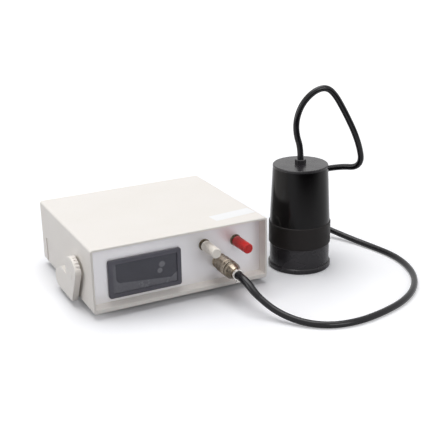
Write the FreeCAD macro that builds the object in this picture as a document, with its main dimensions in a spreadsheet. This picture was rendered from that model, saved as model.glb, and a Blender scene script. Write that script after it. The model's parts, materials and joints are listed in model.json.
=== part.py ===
import FreeCAD, Part
import math
import os
import re

import Sketcher
from FreeCAD import Placement, Rotation, Vector

# Bench reflectance meter: a two-shell plastic case with recessed panels and a tilt stand,
# and a round measuring probe that stands beside it on its cable.
# Lengths are in millimetres. Places on the case are counted from its front left bottom
# corner: x to the right, y to the back, z up. The floor lies one foot height below.

os.makedirs("parts", exist_ok=True)
doc = FreeCAD.newDocument("reflectance_meter")
sheet = doc.addObject("Spreadsheet::Sheet", "Sizes")

SIZES = {
    # case
    "caseWidth": 200,
    "caseDepth": 175,
    "caseHeight": 70,
    "seamHeight": 34,           # where lower and upper shell meet
    "wall": 2.2,
    "sideRim": 2.4,             # thicker rims at both open ends carry the panels
    "roofRim": 2.4,
    "floorRim": 4.6,
    "rimLength": 20,
    "edgeRadius": 3,
    "lipRadius": 1.2,
    "sideStep": 0.9,            # shallow step in the lower shell's sides
    "sideStepFront": 66,
    "sideStepRear": 160,
    "sideStepTop": 30,
    "postRadius": 4,
    "postHole": 1.7,
    "postInsetX": 14,
    "postInsetY": 24,
    "ventWidth": 2.4,
    "ventLength": 30,
    "ventPitch": 7,
    "ventCount": 7,
    "ventX": 70,
    "ventY": 116,
    # feet and case screws
    "footHeight": 7,
    "footRadius": 6.5,
    "footDish": 3.2,
    "footDishDepth": 3,
    "screwRadius": 1.5,
    "screwHeadRadius": 3,
    "screwHeadHeight": 2.2,
    "screwReach": 10,           # how far a case screw bites into the upper post
    # panels
    "panelRecess": 14,          # front panel behind the case's front edge
    "rearRecess": 10,
    "panelThickness": 2,
    "panelFit": 0.15,
    "grooveDepth": 1.2,
    # clearances
    "runFit": 0.05,             # shafts and pins in their holes
    "seatGap": 0.3,             # faces that pass or nearly touch
    "holeFit": 0.2,             # fixed pieces in panel holes
    # panel meter
    "meterInset": 24,           # from the case's left side to the meter's body
    "meterZ": 29.2,
    "meterWidth": 81.4,
    "meterHeight": 42.2,
    "meterProud": 3,
    "meterCorner": 3,
    "meterSoftEdge": 0.9,
    "meterBodyWidth": 76,
    "meterBodyHeight": 37.5,
    "meterBodyDepth": 44,
    "meterBodyWall": 1.6,
    "meterBackPlug": 2.5,
    "meterBackLid": 1.8,
    "windowWidth": 71.9,
    "windowHeight": 33.4,
    "windowThickness": 1.6,
    "windowSink": 1.3,
    "windowLap": 1,
    "displayWidth": 58,
    "displayHeight": 22,
    "displayThickness": 7,
    "circuitThickness": 1.6,
    "clipWidth": 2.6,
    "clipHeight": 12,
    "clipLength": 26,
    "clipFoot": 2.2,
    "clipFootThickness": 2.4,
    # adjusting controls
    "zeroInset": 69,            # from the case's right side
    "zeroZ": 46.8,
    "zeroReach": 29.6,
    "calInset": 31.8,
    "calZ": 45.1,
    "calReach": 30,
    "knobRadius": 5.7,
    "knobEndRadius": 5.5,
    "knobFlute": 0.45,
    "knobFlutes": 16,
    "knobStart": 4.3,
    "knobRoof": 4.5,
    "shaftRadius": 3,
    "bushingRadius": 4,
    "bushingReach": 4,
    "potRadius": 8.2,
    "potDepth": 11,
    "potWall": 2.5,
    "nutAcross": 9.6,
    "nutHeight": 2.2,
    # probe connector
    "socketInset": 51.5,
    "socketZ": 24.6,
    "socketRadius": 7.7,
    "socketFlangeRadius": 8.6,
    "socketFlange": 1.6,
    "socketNutAcross": 20,
    "socketNutHeight": 3,
    "socketFront": 13,
    "socketRear": 14,
    "socketBore": 6.4,
    "insertRadius": 6.1,
    "pinRadius": 0.75,
    "pinRing": 3.4,
    "pinCount": 5,
    "couplingRadius": 9.3,
    "couplingStart": 8,
    "couplingEnd": 26.6,
    "couplingGroove": 0.55,
    "couplingGrooves": 24,
    "plugFlangeRadius": 7.3,
    "plugFlange": 3,
    "plugNeckRadius": 6.5,
    "plugBodyStart": 27.9,
    "plugBodyRadius": 9,
    "plugBand": 3,
    "plugEnd": 39.4,
    "plugEndRadius": 6.2,
    "clampStart": 41.4,
    "clampRadius": 5.9,
    "clampLength": 3.2,
    "bootEnd": 50,
    "bootRadius": 4.8,
    "bootEndRadius": 4.1,
    # tilt stand
    "hingeY": 42.5,
    "hingeZ": 29.5,
    "standGap": 2.5,
    "standThickness": 6.5,
    "hubRadius": 20,
    "browY": 24.3,              # where the hub's round edge turns straight down to the toe
    "browZ": 37.7,
    "browRounding": 5,
    "toeY": 44.5,
    "toeRounding": 2.5,
    "armEndY": 90.5,
    "armEndZ": 9.2,
    "armEndRadius": 10,
    "saddleY": 76,              # high point of the arm's upper edge
    "saddleZ": 27.8,
    "notchY": 58.5,             # foot of the notch between the arm and the hub
    "notchZ": 25.4,
    "notchTopY": 61.5,
    "notchTopZ": 39,
    "armRounding": 1,
    "toothRadius": 1.7,
    "toothDepth": 1.1,
    "toothWidth": 4.3,
    "toothFirst": 100,
    "toothStep": 13,
    "barY": 90.5,
    "barZ": 3.4,
    "barRadius": 4,
    "barClearance": 1,
    "channelSlope": 3.3,        # leans the channel's front wall along the crossbar's swing
    "pivotRadius": 4.5,
    "pivotFlangeRadius": 6.8,
    "spigotLength": 4.2,        # through the case wall
    "pivotProud": 0.5,
    "spigotRadius": 3,
    # rear panel fittings
    "inletX": 150,
    "inletZ": 36,
    "inletWidth": 27,
    "inletHeight": 20,
    "inletDepth": 24,
    "inletFlangeWidth": 50,
    "inletFlangeHeight": 23,
    "inletFlange": 3,
    "inletScrewSpread": 20,
    "cavityWidth": 23.6,
    "cavityHeight": 16.4,
    "cavityDepth": 22,
    "contactReach": 15,
    "switchX": 106,
    "switchZ": 36,
    "switchWidth": 13,
    "switchHeight": 19.4,
    "switchDepth": 14,
    "switchBezel": 2,
    "rockerTilt": 10,
    "rockerSink": 1,            # how far its pivot lies inside the panel face
    "rockerPin": 1.2,
    "fuseX": 75,
    "fuseZ": 36,
    "fuseBodyRadius": 6,
    "fuseDepth": 24,
    "fuseFlangeRadius": 8.5,
    "fuseCapRadius": 6.2,
    "fuseCapProud": 5,
    "fuseRadius": 2.5,
    # circuit and transformer
    "boardGap": 15,             # between the transformer and the board
    "boardRightGap": 22,
    "boardRearGap": 13,
    "boardY": 62,
    "boardZ": 13.5,
    "boardPostRadius": 3.2,
    "boardInset": 5,
    "boardScrew": 1.2,
    "boardScrewBite": 5,
    "boardScrewHead": 1.6,
    "chipLength": 10,
    "chipWidth": 6.5,
    "chipHeight": 3.6,
    "chipPitch": 20,
    "terminalLength": 28,
    "terminalWidth": 9,
    "terminalHeight": 10,
    "heatsinkInset": 18,
    "heatsinkThickness": 2,
    "heatsinkWidth": 22,
    "heatsinkHeight": 16,
    "capRadius": 6.5,
    "capHeight": 18,
    "capPitch": 16,
    "capFromRear": 22,
    "coreX": 27,
    "coreY": 120,
    "coreWidth": 42,
    "coreHeight": 35,
    "coreStack": 15,
    "coreLeg": 7,
    "coilOverhang": 7,
    # probe, heights above the floor
    "probeGap": 60,             # from the case's right side to the probe's axis
    "probeY": 31.3,
    "flangeRadius": 35.5,
    "flangeHeight": 6,
    "baseRadius": 33.8,
    "baseTop": 28,
    "baseWall": 3,
    "spigotHeight": 4,
    "collarRadius": 35,
    "collarTop": 54,
    "collarWall": 2.8,
    "coneRadius": 34,
    "coneTopRadius": 30.9,
    "coneTop": 117.2,
    "coneWall": 3,
    "capThickness": 2.8,
    "glandAcross": 10.8,
    "glandHeight": 5,
    "glandStemRadius": 4.4,
    "glandStem": 9,
    "apertureRadius": 11,
    "glassRadius": 13,
    "glassThickness": 1.8,
    "opticsRadius": 21,
    "opticsTop": 46,
    "lampHolderRadius": 4.1,
    "cellRadius": 9,
    "probeScrewRing": 17,
    "probeScrewSink": 0.2,
    "probeScrewHead": 1.6,
    "probeScrewBite": 8,
    "cordRadius": 3.5,
    "cordSeat": 3,              # how deep the cable sits in the gland and in the boot
}

for row, (name, number) in enumerate(SIZES.items(), 1):
    sheet.set(f"A{row}", name)
    sheet.set(f"B{row}", str(number))
    sheet.setAlias(f"B{row}", name)
doc.recompute()

# the model's origin: middle of the meter and probe on the floor, free cable left out
PROBE_X = "(caseWidth + probeGap)"
ORIGIN_X = f"(({PROBE_X} + flangeRadius) - (standGap + standThickness + pivotProud)) / 2"
ORIGIN_Y = "(caseDepth + panelRecess - calReach) / 2"
TO_FRONT = Rotation(Vector(1, 0, 0), 90)     # turns a piece's own z axis out of the front panel
TO_REAR = Rotation(Vector(1, 0, 0), -90)     # and out of the rear panel
REAR_FACE = "(caseDepth - rearRecess)"
METER_X = "(meterInset + meterBodyWidth / 2)"
ZERO_X = "(caseWidth - zeroInset)"
CAL_X = "(caseWidth - calInset)"
SOCKET_X = "(caseWidth - socketInset)"
BOARD_X = "(coreX + coreWidth + boardGap)"
BOARD_WIDTH = f"(caseWidth - boardRightGap - {BOARD_X})"
BOARD_DEPTH = f"({REAR_FACE} - panelThickness - boardRearGap - boardY)"

pieces = {}


# ---- short forms for expressions, sketches and features ----

def refs(text):
    return re.sub(r"[A-Za-z]\w*", lambda word: "Sizes." + word[0] if word[0] in SIZES else word[0], str(text))


def value(text):
    return float(sheet.evalExpression(refs(text)))


def bind(item, name, text):
    item.setExpression(name, refs(text))


def seat(item, x, y, z, turn=Rotation()):
    item.Placement = Placement(Vector(), turn)
    bind(item, "Placement.Base.x", f"({x}) - {ORIGIN_X}")
    bind(item, "Placement.Base.y", f"({y}) - {ORIGIN_Y}")
    bind(item, "Placement.Base.z", f"({z}) + footHeight")


def start(label, x=0, y=0, z=0, turn=Rotation()):
    body = doc.addObject("PartDesign::Body", label)
    body.Label = label
    seat(body, x, y, z, turn)
    pieces[label] = body
    return body


def draw(body, plane, offset=0):
    support = next(item for item in body.Origin.OriginFeatures if item.Role == plane)
    sketch = body.newObject("Sketcher::SketchObject", body.Label + "_sketch")
    sketch.AttachmentSupport = [(support, "")]
    sketch.MapMode = "FlatFace"
    bind(sketch, "AttachmentOffset.Base.z", offset)
    return sketch


def hold(sketch, kind, edge, point, text):
    if point is None:
        rule = Sketcher.Constraint(kind, edge, value(text))
    else:
        rule = Sketcher.Constraint(kind, edge, point, value(text))
    bind(sketch, f"Constraints[{sketch.addConstraint(rule)}]", text)


def outline(sketch, points):
    first = sketch.GeometryCount
    spots = [Vector(value(u), value(v), 0) for u, v in points]
    for here, there in zip(spots, spots[1:] + spots[:1]):
        sketch.addGeometry(Part.LineSegment(here, there))
    for step, (u, v) in enumerate(points):
        following = first + (step + 1) % len(points)
        sketch.addConstraint(Sketcher.Constraint("Coincident", first + step, 2, following, 1))
        hold(sketch, "DistanceX", first + step, 1, u)
        hold(sketch, "DistanceY", first + step, 1, v)
    return sketch


def rectangle(sketch, left, low, right, high):
    return outline(sketch, [(left, low), (right, low), (right, high), (left, high)])


def circle(sketch, u, v, radius):
    spot = Vector(value(u), value(v), 0)
    ring = sketch.addGeometry(Part.Circle(spot, Vector(0, 0, 1), value(radius)))
    hold(sketch, "DistanceX", ring, 3, u)
    hold(sketch, "DistanceY", ring, 3, v)
    hold(sketch, "Radius", ring, None, radius)
    return sketch


def pad(body, sketch, length, reverse=False):
    feature = body.newObject("PartDesign::Pad", "Pad")
    feature.Profile = sketch
    feature.Reversed = reverse
    bind(feature, "Length", length)
    return feature


def pocket(body, sketch, length, reverse=False):
    feature = body.newObject("PartDesign::Pocket", "Pocket")
    feature.Profile = sketch
    feature.Reversed = reverse
    bind(feature, "Length", length)
    return feature


def revolve(body, sketch):
    feature = body.newObject("PartDesign::Revolution", "Revolution")
    feature.Profile = sketch
    feature.ReferenceAxis = (sketch, ["V_Axis"])
    feature.Angle = 360
    return feature


def turned(label, points, x=0, y=0, z=0, turn=Rotation()):
    body = start(label, x, y, z, turn)
    revolve(body, outline(draw(body, "XZ_Plane"), points))
    return body


def around(body, feature, sketch, count):
    pattern = body.newObject("PartDesign::PolarPattern", "PolarPattern")
    pattern.Originals = [feature]
    pattern.Axis = (sketch, ["N_Axis"])
    pattern.Angle = 360
    bind(pattern, "Occurrences", count)
    body.Tip = pattern


def soften(body, size, chosen, kind="Fillet"):
    doc.recompute()
    base = body.Tip
    names = [f"Edge{number}" for number, edge in enumerate(base.Shape.Edges, 1) if chosen(edge)]
    feature = body.newObject("PartDesign::" + kind, kind)
    feature.Base = (base, names)
    bind(feature, "Radius" if kind == "Fillet" else "Size", size)


def group(label, members):
    for member in members:
        pieces.pop(member.Label)
    bundle = doc.addObject("Part::Compound", label)
    bundle.Label = label
    bundle.Links = members
    pieces[label] = bundle


def block(label, low, size):
    item = doc.addObject("Part::Box", label)
    item.Label = label
    seat(item, *low)
    for side, text in zip(("Length", "Width", "Height"), size):
        bind(item, side, text)
    pieces[label] = item
    return item


def hexagon(across):
    return [(f"({across}) / 2 * {u}", f"({across}) / sqrt(3) * {v}")
            for u, v in ((1, 0.5), (0, 1), (-1, 0.5), (-1, -0.5), (0, -1), (1, -0.5))]


def runs_along(edge, axis):
    if len(edge.Vertexes) < 2 or edge.Curve.TypeId != "Part::GeomLine":
        return False
    along = edge.Vertexes[1].Point - edge.Vertexes[0].Point
    return abs(along.normalize().dot(axis)) > 0.999


def near(number, text):
    return abs(number - value(text)) < 0.01


def at_corner(edge, y, z):
    away = edge.BoundBox.Center - Vector(edge.BoundBox.Center.x, value(y), value(z))
    return runs_along(edge, Vector(1, 0, 0)) and away.Length < 0.5


# ---- case shells ----

POSTS = [(x, y) for x in ("postInsetX", "caseWidth - postInsetX")
         for y in ("postInsetY", "caseDepth - postInsetY")]
BOARD_POSTS = [(f"{BOARD_X} + {x}", f"boardY + {y}")
               for x in ("boardInset", f"{BOARD_WIDTH} - boardInset")
               for y in ("boardInset", f"{BOARD_DEPTH} - boardInset")]


def panel_seats(body, low, high):
    # the wall is thin between the rims, and each rim has a groove for its panel
    inner = draw(body, "XZ_Plane", "-rimLength")
    rectangle(inner, "wall", low[0], "caseWidth - wall", high[0])
    pocket(body, inner, "caseDepth - 2 * rimLength")
    for y in ("panelRecess - panelFit", f"{REAR_FACE} - panelThickness - panelFit"):
        groove = draw(body, "XZ_Plane", f"-({y})")
        rectangle(groove, "sideRim - grooveDepth", low[1], "caseWidth - sideRim + grooveDepth", high[1])
        pocket(body, groove, "panelThickness + 2 * panelFit")


def long_edge(edge):
    return runs_along(edge, Vector(0, 1, 0)) and edge.Length > value("caseDepth") - 1


def at_mouth(edge):
    return near(edge.BoundBox.YMax, 0) or near(edge.BoundBox.YMin, "caseDepth")


def lower_shell():
    body = start("lower_shell")
    profile = draw(body, "XZ_Plane")
    outline(profile, [(0, 0), ("caseWidth", 0), ("caseWidth", "seamHeight"),
                      ("caseWidth - sideRim", "seamHeight"), ("caseWidth - sideRim", "floorRim"),
                      ("sideRim", "floorRim"), ("sideRim", "seamHeight"), (0, "seamHeight")])
    pad(body, profile, "caseDepth", reverse=True)
    soften(body, "edgeRadius", lambda edge: long_edge(edge) and near(edge.BoundBox.ZMax, 0))
    soften(body, "lipRadius", lambda edge: at_mouth(edge) and near(edge.BoundBox.ZMax, 0))
    panel_seats(body, ("wall", "floorRim - grooveDepth"), ("seamHeight + 1", "seamHeight + 1"))

    # raised floor over the channel that takes the folded stand's crossbar
    rib = draw(body, "YZ_Plane", "wall")
    side = "(barRadius + barClearance)"
    roof = f"(barZ + {side})"
    rectangle(rib, f"barY - {side} - channelSlope - wall", "wall / 2",
              f"barY + {side} + wall", f"{roof} + wall")
    pad(body, rib, "caseWidth - 2 * wall")
    channel = draw(body, "YZ_Plane", "caseWidth + 1")
    outline(channel, [(f"barY + {side}", -1), (f"barY + {side}", f"{roof} - {side} / 2"),
                      (f"barY + {side} * 0.6", roof), (f"barY - {side} * 0.6", roof),
                      (f"barY - {side}", f"{roof} - {side} / 2"), (f"barY - {side} - channelSlope", -1)])
    pocket(body, channel, "caseWidth + 2")

    for x in ("0", "caseWidth - sideStep"):
        step = draw(body, "YZ_Plane", f"{x} + sideStep")
        rectangle(step, "sideStepFront", -1, "sideStepRear", "sideStepTop")
        pocket(body, step, "sideStep")

    posts = draw(body, "XY_Plane", "wall / 2")
    for x, y in POSTS:
        circle(posts, x, y, "postRadius")
    pad(body, posts, "seamHeight - wall / 2")
    board_posts = draw(body, "XY_Plane", "wall / 2")
    for x, y in BOARD_POSTS:
        circle(board_posts, x, y, "boardPostRadius")
    pad(body, board_posts, "boardZ - wall / 2")
    holes = draw(body, "XY_Plane", "seamHeight")
    for x, y in POSTS:
        circle(holes, x, y, "postHole")
    pocket(body, holes, "seamHeight + 1")
    board_holes = draw(body, "XY_Plane", "boardZ")
    for x, y in BOARD_POSTS:
        circle(board_holes, x, y, "boardScrew + runFit")
    pocket(body, board_holes, "boardScrewBite + 2")

    # spigot holes for the stand's pivots
    pivots = draw(body, "YZ_Plane", "caseWidth + 1")
    circle(pivots, "hingeY", "hingeZ", "spigotRadius + runFit")
    pocket(body, pivots, "caseWidth + 2")

    vents = draw(body, "XY_Plane", "wall + 0.5")
    rectangle(vents, "ventX", "ventY", "ventX + ventWidth", "ventY + ventLength")
    slot = pocket(body, vents, "wall + 1")
    row = body.newObject("PartDesign::LinearPattern", "LinearPattern")
    row.Originals = [slot]
    row.Direction = (vents, ["H_Axis"])
    bind(row, "Length", "ventPitch * (ventCount - 1)")
    bind(row, "Occurrences", "ventCount")
    body.Tip = row


def upper_shell():
    body = start("upper_shell")
    profile = draw(body, "XZ_Plane")
    outline(profile, [(0, "seamHeight"), ("sideRim", "seamHeight"), ("sideRim", "caseHeight - roofRim"),
                      ("caseWidth - sideRim", "caseHeight - roofRim"), ("caseWidth - sideRim", "seamHeight"),
                      ("caseWidth", "seamHeight"), ("caseWidth", "caseHeight"), (0, "caseHeight")])
    pad(body, profile, "caseDepth", reverse=True)
    soften(body, "edgeRadius", lambda edge: long_edge(edge) and near(edge.BoundBox.ZMin, "caseHeight"))
    soften(body, "lipRadius", lambda edge: at_mouth(edge) and near(edge.BoundBox.ZMin, "caseHeight"))
    panel_seats(body, ("seamHeight - 1", "seamHeight - 1"),
                ("caseHeight - wall", "caseHeight - roofRim + grooveDepth"))
    posts = draw(body, "XY_Plane", "seamHeight")
    for x, y in POSTS:
        circle(posts, x, y, "postRadius")
    pad(body, posts, "caseHeight - wall / 2 - seamHeight")
    bores = draw(body, "XY_Plane", "seamHeight")
    for x, y in POSTS:
        circle(bores, x, y, "screwRadius + runFit")
    pocket(body, bores, "screwReach + 2", reverse=True)


def feet_and_screws():
    feet = []
    screws = []
    for number, (x, y) in enumerate(POSTS, 1):
        feet.append(turned(f"foot_{number}", [
            ("postHole", "-footHeight + footDishDepth"), ("footDish", "-footHeight + footDishDepth"),
            ("footDish", "-footHeight"), ("footRadius - 0.8", "-footHeight"),
            ("footRadius", "-footHeight + 0.8"), ("footRadius", 0), ("postHole", 0)], x, y))
        shank = "(seamHeight + screwReach + footHeight - footDishDepth)"
        screws.append(turned(f"case_screw_{number}", [
            (0, 0), ("screwHeadRadius", 0), ("screwHeadRadius", "screwHeadHeight"),
            ("screwRadius", "screwHeadHeight"), ("screwRadius", f"screwHeadHeight + {shank}"),
            (0, f"screwHeadHeight + {shank}")], x, y, "-footHeight + footDishDepth - screwHeadHeight"))
    group("feet", feet)
    group("case_screws", screws)


# ---- panels ----

def panel(label, y):
    body = start(label)
    plate = draw(body, "XZ_Plane", f"-({y})")
    rectangle(plate, "sideRim - grooveDepth + panelFit", "floorRim - grooveDepth + panelFit",
              "caseWidth - sideRim + grooveDepth - panelFit", "caseHeight - roofRim + grooveDepth - panelFit")
    pad(body, plate, "panelThickness", reverse=True)
    holes = draw(body, "XZ_Plane", f"-({y} - 1)")
    return body, holes


def front_panel():
    body, holes = panel("front_panel", "panelRecess")
    wide = "(meterBodyWidth / 2 + holeFit)"
    tall = "(meterBodyHeight / 2 + holeFit)"
    rectangle(holes, f"{METER_X} - {wide}", f"meterZ - {tall}", f"{METER_X} + {wide}", f"meterZ + {tall}")
    circle(holes, ZERO_X, "zeroZ", "bushingRadius + holeFit")
    circle(holes, CAL_X, "calZ", "bushingRadius + holeFit")
    circle(holes, SOCKET_X, "socketZ", "socketRadius + holeFit")
    pocket(body, holes, "panelThickness + 2")


def rear_panel():
    body, holes = panel("rear_panel", f"({REAR_FACE} - panelThickness)")
    for x, z, width, height in (("inletX", "inletZ", "inletWidth", "inletHeight"),
                                ("switchX", "switchZ", "switchWidth", "switchHeight")):
        wide = f"({width} / 2 + holeFit)"
        tall = f"({height} / 2 + holeFit)"
        rectangle(holes, f"{x} - {wide}", f"{z} - {tall}", f"{x} + {wide}", f"{z} + {tall}")
    for side in "-+":
        circle(holes, f"inletX {side} inletScrewSpread", "inletZ", "screwRadius + holeFit")
    circle(holes, "fuseX", "fuseZ", "fuseBodyRadius + holeFit")
    pocket(body, holes, "panelThickness + 2")


# ---- panel meter ----

def centred(sketch, width, height):
    return rectangle(sketch, f"-({width}) / 2", f"-({height}) / 2", f"({width}) / 2", f"({height}) / 2")


def panel_meter():
    # own z axis points out of the panel, zero at the panel's front face
    place = (METER_X, "panelRecess", "meterZ", TO_FRONT)
    depth = "(meterBodyDepth + panelThickness)"

    bezel = start("meter_case", *place)
    pad(bezel, centred(draw(bezel, "XY_Plane"), "meterWidth", "meterHeight"), "meterProud")
    soften(bezel, "meterCorner", lambda edge: runs_along(edge, Vector(0, 0, 1)))
    soften(bezel, "meterSoftEdge", lambda edge: near(edge.BoundBox.ZMin, "meterProud"))
    pad(bezel, centred(draw(bezel, "XY_Plane"), "meterBodyWidth", "meterBodyHeight"), depth, reverse=True)
    hollow = draw(bezel, "XY_Plane", "meterProud - windowSink - windowThickness")
    centred(hollow, "meterBodyWidth - 2 * meterBodyWall", "meterBodyHeight - 2 * meterBodyWall")
    pocket(bezel, hollow, f"{depth} + meterProud")
    ledge = draw(bezel, "XY_Plane", "meterProud - windowSink")
    centred(ledge, "windowWidth + 2 * windowLap", "windowHeight + 2 * windowLap - 0.8")
    pocket(bezel, ledge, "windowThickness + 0.2")
    opening = draw(bezel, "XY_Plane", "meterProud + 1")
    centred(opening, "windowWidth", "windowHeight - 0.8")
    pocket(bezel, opening, "windowSink + 1.1")

    window = start("meter_window", *place)
    pane = draw(window, "XY_Plane", "meterProud - windowSink - windowThickness")
    centred(pane, "windowWidth + 2 * windowLap - 0.2", "windowHeight + 2 * windowLap - 1")
    pad(window, pane, "windowThickness")

    # the window's rear face, the digit block and its circuit board stack up behind each other
    behind = "(meterProud - windowSink - windowThickness)"
    digits = start("digit_display", *place)
    pad(digits, centred(draw(digits, "XY_Plane", behind), "displayWidth", "displayHeight"),
        "displayThickness", reverse=True)
    circuit = start("meter_circuit", *place)
    inner = draw(circuit, "XY_Plane", f"{behind} - displayThickness")
    centred(inner, "meterBodyWidth - 2 * meterBodyWall - 0.2", "meterBodyHeight - 2 * meterBodyWall - 0.2")
    pad(circuit, inner, "circuitThickness", reverse=True)
    back = start("meter_back", *place)
    plug = draw(back, "XY_Plane", f"-{depth}")
    centred(plug, "meterBodyWidth - 2 * meterBodyWall - 0.2", "meterBodyHeight - 2 * meterBodyWall - 0.2")
    pad(back, plug, "meterBackPlug")
    lid = draw(back, "XY_Plane", f"-{depth}")
    centred(lid, "meterBodyWidth", "meterBodyHeight")
    pad(back, lid, "meterBackLid", reverse=True)

    clips = []
    for number, side in enumerate((-1, 1), 1):
        clip = start(f"meter_clip_{number}", f"{METER_X} + {side} * (meterBodyWidth / 2 + clipWidth / 2 + seatGap)",
                     "panelRecess + panelThickness", "meterZ", TO_FRONT)
        pad(clip, centred(draw(clip, "XY_Plane"), "clipWidth", "clipHeight"), "clipLength", reverse=True)
        foot = draw(clip, "XY_Plane")
        outer = f"{side} * (clipWidth / 2 + clipFoot)"
        inner = f"{-side} * clipWidth / 2"
        left, right = (outer, inner) if side < 0 else (inner, outer)
        rectangle(foot, left, "-clipHeight / 2", right, "clipHeight / 2")
        pad(clip, foot, "clipFootThickness", reverse=True)
        clips.append(clip)
    group("meter_clips", clips)


# ---- adjusting controls ----

def control(name, x, z, reach):
    # own z axis points out of the panel, zero at the panel's front face
    place = (x, "panelRecess", z, TO_FRONT)
    bottom = "(-panelThickness - potDepth)"
    turned(f"{name}_potentiometer", [
        ("shaftRadius + runFit", f"{bottom} + potWall"), (0, f"{bottom} + potWall"),
        (0, bottom), ("potRadius", bottom),
        ("potRadius", "-panelThickness"), ("bushingRadius", "-panelThickness"),
        ("bushingRadius", "bushingReach"), ("shaftRadius + runFit", "bushingReach")], *place)

    nut = start(f"{name}_nut", *place)
    face = outline(draw(nut, "XY_Plane"), hexagon("nutAcross"))
    circle(face, 0, 0, "bushingRadius + runFit")
    pad(nut, face, "nutHeight")

    turned(f"{name}_shaft", [
        (0, f"{bottom} + potWall + holeFit"), ("shaftRadius", f"{bottom} + potWall + holeFit"),
        ("shaftRadius", f"{reach} - knobRoof - 0.5"), ("shaftRadius - 0.5", f"{reach} - knobRoof"),
        (0, f"{reach} - knobRoof")], *place)

    knob = turned(f"{name}_knob", [
        ("shaftRadius + runFit / 2", "knobStart"), ("knobRadius", "knobStart"),
        ("knobRadius", "knobStart + 3"), ("knobEndRadius", f"{reach} - 0.6"),
        ("knobEndRadius - 0.6", reach), ("knobEndRadius * 0.55", reach),
        ("knobEndRadius * 0.55 - 0.5", f"{reach} - 0.5"), (0, f"{reach} - 0.5"),
        (0, f"{reach} - knobRoof"), ("shaftRadius + runFit / 2", f"{reach} - knobRoof")], *place)
    # the first flute stands half a pitch off the turned surface's seam
    flute = draw(knob, "XY_Plane", "knobStart + 3")
    away = "(knobRadius + knobFlute * 0.35)"
    circle(flute, f"{away} * cos(180 / knobFlutes)", f"{away} * sin(180 / knobFlutes)", "knobFlute")
    around(knob, pocket(knob, flute, reach, reverse=True), flute, "knobFlutes")
    return nut


# ---- probe socket and plug ----

def connector():
    place = (SOCKET_X, "panelRecess", "socketZ", TO_FRONT)
    turned("probe_socket", [
        ("insertRadius + runFit", "-socketRear"), ("socketRadius", "-socketRear"), ("socketRadius", 0),
        ("socketFlangeRadius", 0), ("socketFlangeRadius", "socketFlange - 0.5"),
        ("socketFlangeRadius - 0.5", "socketFlange"), ("socketRadius", "socketFlange"),
        ("socketRadius", "socketFront - 0.5"), ("socketRadius - 0.5", "socketFront"),
        ("socketBore", "socketFront"), ("socketBore", 3), ("insertRadius + runFit", 3)], *place)

    nut = start("socket_nut", *place)
    face = draw(nut, "XY_Plane", "-panelThickness")
    outline(face, hexagon("socketNutAcross"))
    circle(face, 0, 0, "socketRadius + runFit")
    pad(nut, face, "socketNutHeight", reverse=True)

    for label, low, high, radius in (("socket_insert", "-socketRear + 1", "3", "insertRadius"),
                                     ("plug_insert", "3.4", "13", "insertRadius - 1")):
        insert = start(label, *place)
        disc = circle(draw(insert, "XY_Plane", low), 0, 0, radius)
        pad(insert, disc, f"{high} - ({low})")
        bore = circle(draw(insert, "XY_Plane", high), "pinRing", 0, "pinRadius + runFit")
        around(insert, pocket(insert, bore, f"{high} - ({low}) + 1"), bore, "pinCount")

    pins = start("contact_pins", *place)
    pin = circle(draw(pins, "XY_Plane", "-socketRear - 2"), "pinRing", 0, "pinRadius")
    around(pins, pad(pins, pin, "socketRear + 12"), pin, "pinCount")

    flange = "(socketFront + seatGap)"
    turned("plug_shell", [
        ("insertRadius - 1 + runFit", "3.4"), ("insertRadius", "3.4"), ("insertRadius", flange),
        ("plugFlangeRadius", flange), ("plugFlangeRadius", f"{flange} + plugFlange"),
        ("plugNeckRadius", f"{flange} + plugFlange"), ("plugNeckRadius", "plugBodyStart"),
        ("plugBodyRadius - 0.4", "plugBodyStart"), ("plugBodyRadius", "plugBodyStart + 0.4"),
        ("plugBodyRadius", "plugBodyStart + plugBand"), ("plugBodyRadius - 0.7", "plugBodyStart + plugBand + 0.7"),
        ("plugEndRadius", "plugEnd"), ("bootRadius + 0.2", "plugEnd"), ("bootRadius + 0.2", "clampStart"),
        ("bootRadius - 0.8", "clampStart"), ("bootRadius - 0.8", 22), ("insertRadius - 1 + runFit", 22)], *place)

    inner = "(socketRadius + 0.15)"
    ring = turned("coupling_ring", [
        (inner, "couplingStart"), ("couplingRadius - 0.5", "couplingStart"), ("couplingRadius", "couplingStart + 0.5"),
        ("couplingRadius", "couplingEnd - 0.8"), ("couplingRadius - 0.8", "couplingEnd"),
        ("plugNeckRadius + seatGap", "couplingEnd"),
        ("plugNeckRadius + seatGap", f"{flange} + plugFlange + seatGap"),
        (inner, f"{flange} + plugFlange + seatGap")], *place)
    groove = draw(ring, "XY_Plane", "couplingStart + 4")
    away = "(couplingRadius + couplingGroove * 0.35)"
    circle(groove, f"{away} * cos(180 / couplingGrooves)", f"{away} * sin(180 / couplingGrooves)", "couplingGroove")
    around(ring, pocket(ring, groove, "couplingEnd - couplingStart - 7", reverse=True), groove, "couplingGrooves")

    turned("plug_clamp", [
        ("bootRadius - 0.8", "clampStart"), ("clampRadius - 0.4", "clampStart"),
        ("clampRadius", "clampStart + 0.4"), ("clampRadius", "clampStart + clampLength - 0.8"),
        ("clampRadius - 0.5", "clampStart + clampLength"), ("bootRadius - 0.8", "clampStart + clampLength")], *place)
    rear = "(clampStart + clampLength)"
    turned("plug_boot", [
        (0, "clampStart - 4"), ("bootRadius - 0.85", "clampStart - 4"), ("bootRadius - 0.85", rear),
        ("bootRadius", rear), ("bootEndRadius", "bootEnd"), ("cordRadius + runFit", "bootEnd"),
        ("cordRadius + runFit", "bootEnd - cordSeat"), (0, "bootEnd - cordSeat")], *place)


# ---- tilt stand ----

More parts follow.
